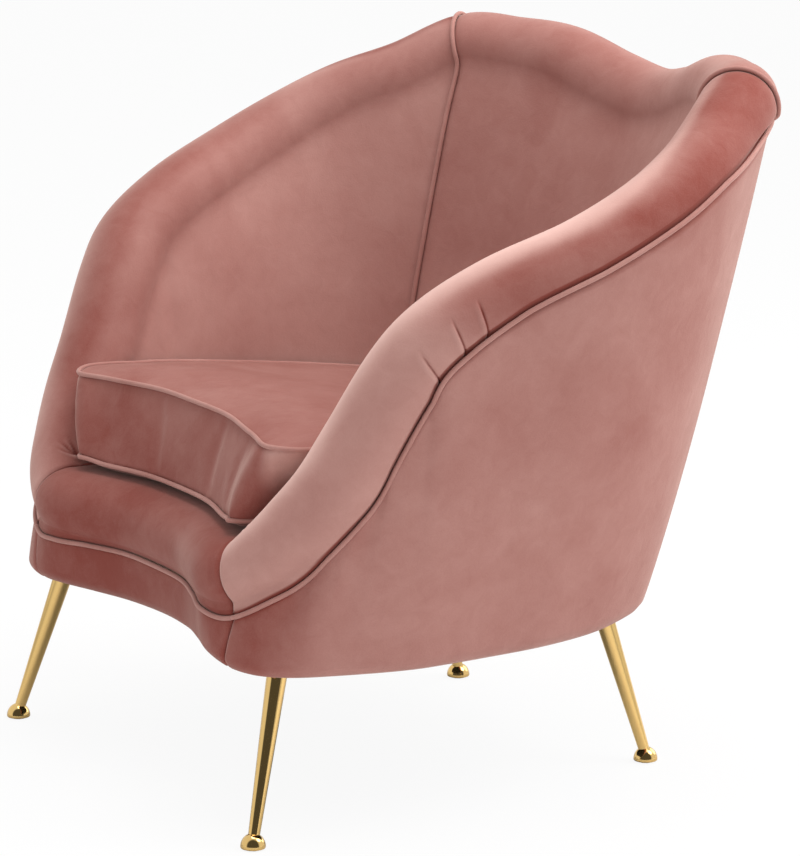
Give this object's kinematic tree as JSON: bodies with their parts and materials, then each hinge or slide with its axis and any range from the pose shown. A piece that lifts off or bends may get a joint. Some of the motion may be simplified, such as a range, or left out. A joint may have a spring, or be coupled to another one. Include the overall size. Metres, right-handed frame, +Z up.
{
  "type": "tub armchair",
  "caption": "Piped velvet tub chair with one rolled arm-and-back edge, loose boxed seat cushion and slim splayed brass legs with domed feet.",
  "frame": {"origin": "on the floor under the middle of the chair's bounding box", "axes": "+Z up, -Y the way the sitter faces, +X towards the sitter's left arm"},
  "size_m": [0.9104, 0.7358, 0.7858],
  "materials": {
    "velvet": "dusty pink velvet, short mottled nap",
    "velvet_seat": "dusty pink velvet, short mottled nap, on the loose cushion",
    "foam": "open-cell upholstery foam",
    "timber": "sawn hardwood, unfinished",
    "webbing": "woven elastic webbing",
    "lining": "black non-woven dust cover",
    "brass": "polished, lacquered",
    "steel": "zinc plated",
    "nylon": "dark moulded nylon"
  },
  "bodies": {
    "chair": {"arm_cover_left": "velvet", "arm_cover_right": "velvet", "outside_cover_left": "velvet", "outside_cover_right": "velvet", "arm_piping_left": "velvet", "arm_piping_right": "velvet", "collar_piping_left": "velvet", "collar_piping_right": "velvet", "back_cover": "velvet", "nose_cover": "velvet", "apron_cover": "velvet", "back_piping": "velvet", "apron_piping": "velvet", "arm_foam_left": "foam", "arm_foam_right": "foam", "back_foam": "foam", "nose_foam": "foam", "seat_deck": "foam", "rail_front": "timber", "rail_side_left": "timber", "rail_side_right": "timber", "rail_back": "timber", "top_hoop": "timber", "post_front_left": "timber", "post_front_right": "timber", "post_middle_left": "timber", "post_middle_right": "timber", "post_rear_left": "timber", "post_rear_right": "timber", "block_front_left": "timber", "block_front_right": "timber", "block_rear_left": "timber", "block_rear_right": "timber", "strap_1": "webbing", "strap_2": "webbing", "strap_3": "webbing", "strap_4": "webbing", "dust_cover": "lining", "leg_front_left": "brass", "leg_front_right": "brass", "leg_rear_left": "brass", "leg_rear_right": "brass", "foot_front_left": "brass", "foot_front_right": "brass", "foot_rear_left": "brass", "foot_rear_right": "brass", "plate_front_left": "steel", "plate_front_right": "steel", "plate_rear_left": "steel", "plate_rear_right": "steel", "glide_front_left": "nylon", "glide_front_right": "nylon", "glide_rear_left": "nylon", "glide_rear_right": "nylon"},
    "cushion": {"cushion_cover": "velvet_seat", "cushion_core": "foam", "cushion_piping_low": "velvet_seat", "cushion_piping_high": "velvet_seat", "cushion_zip": "nylon"},
    "slider": {"zip_slider": "steel"}
  },
  "joints": [
    {"name": "cushion_lift", "type": "slide", "parent": "chair", "child": "cushion", "axis": [0, 0, 1], "range_m": [0, 0.35]},
    {"name": "zip_run", "type": "slide", "parent": "cushion", "child": "slider", "axis": [-1, 0, 0], "range_m": [0, 0.208]}
  ]
}
